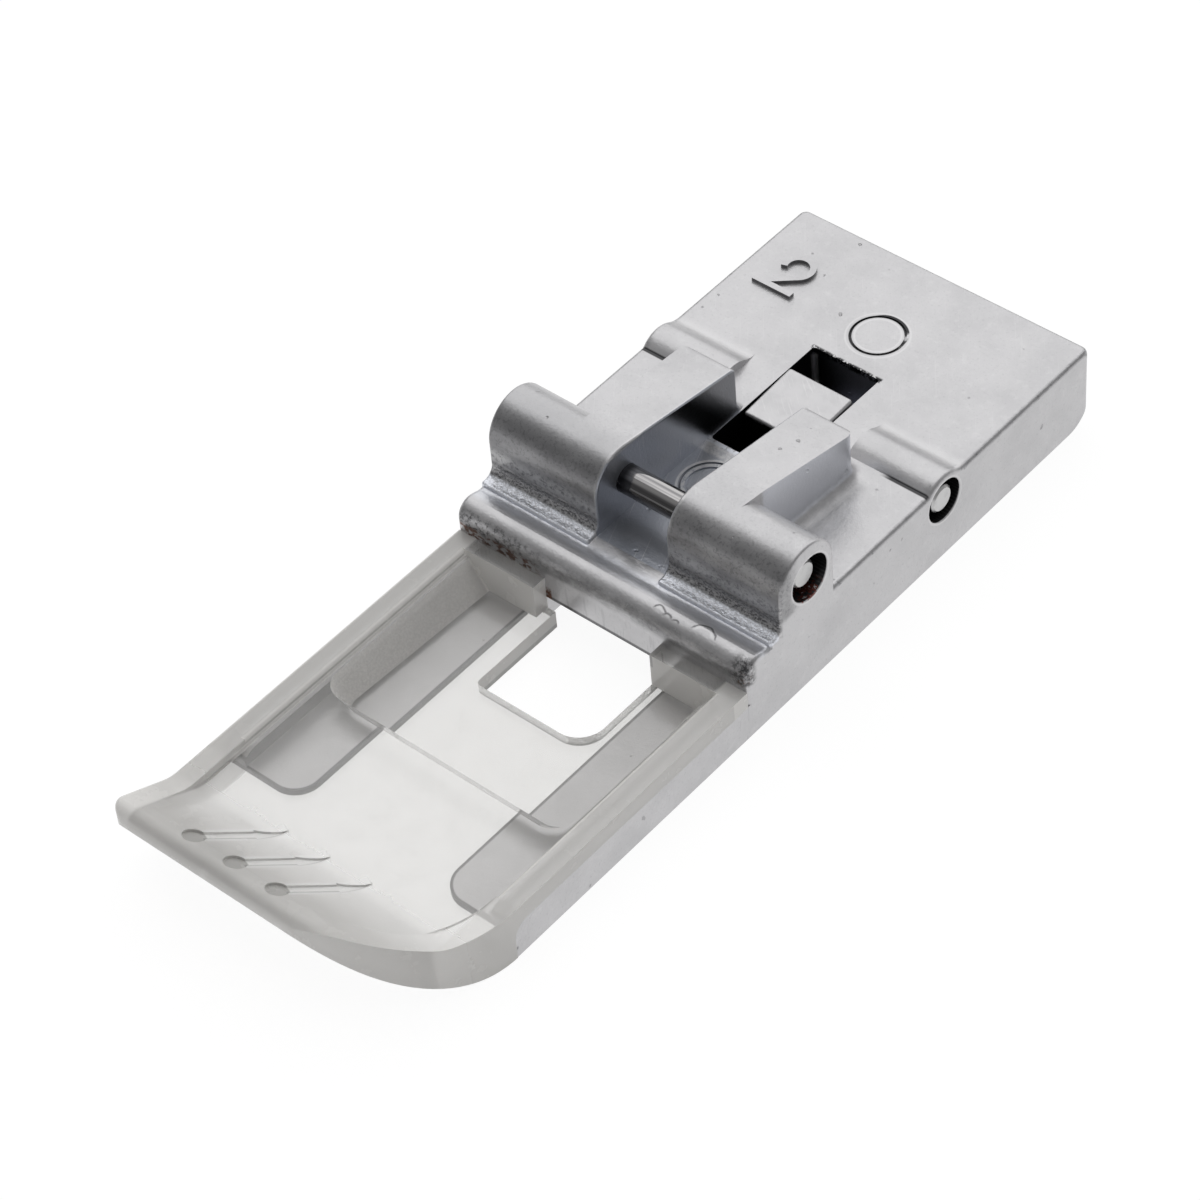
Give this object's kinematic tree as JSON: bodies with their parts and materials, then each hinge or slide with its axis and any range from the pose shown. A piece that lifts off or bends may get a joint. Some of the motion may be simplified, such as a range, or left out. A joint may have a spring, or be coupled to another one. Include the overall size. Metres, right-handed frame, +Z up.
{
  "type": "sewing machine presser foot",
  "caption": "Clip-on presser foot: plated cast body with a cross pin between its ears, a sprung levelling lever and a clear toe with a needle window and raised rims.",
  "frame": {"origin": "on the sole, in the middle of the width, straight under the ankle pin's axis", "axes": "+Z up from the sole, +Y to the rear of the foot, the toe points to -Y, +X is the user's right"},
  "size_m": [0.024, 0.0677, 0.0118],
  "materials": {
    "plated_casting": "satin plating over a fine cast skin",
    "clear_plastic": "clear moulded polycarbonate, faintly warm at the edges",
    "pin_steel": "bright drawn steel",
    "lever_steel": "satin plated steel",
    "spring_steel": "drawn spring wire"
  },
  "bodies": {
    "foot": {"foot_body": "plated_casting", "clear_toe": "clear_plastic", "ankle_pin": "pin_steel", "lever_pin": "pin_steel", "lever_spring": "spring_steel"},
    "lever": {"levelling_lever": "lever_steel"}
  },
  "joints": [
    {"name": "lever_tilt", "type": "hinge", "parent": "foot", "child": "lever", "pos_m": [0, 0.01365, 0.00473], "axis": [1, 0, 0], "range_deg": [0, 12], "stiffness_Nm_per_rad": 0.01, "springref_deg": -11.46, "deforming": ["lever_spring"]}
  ]
}
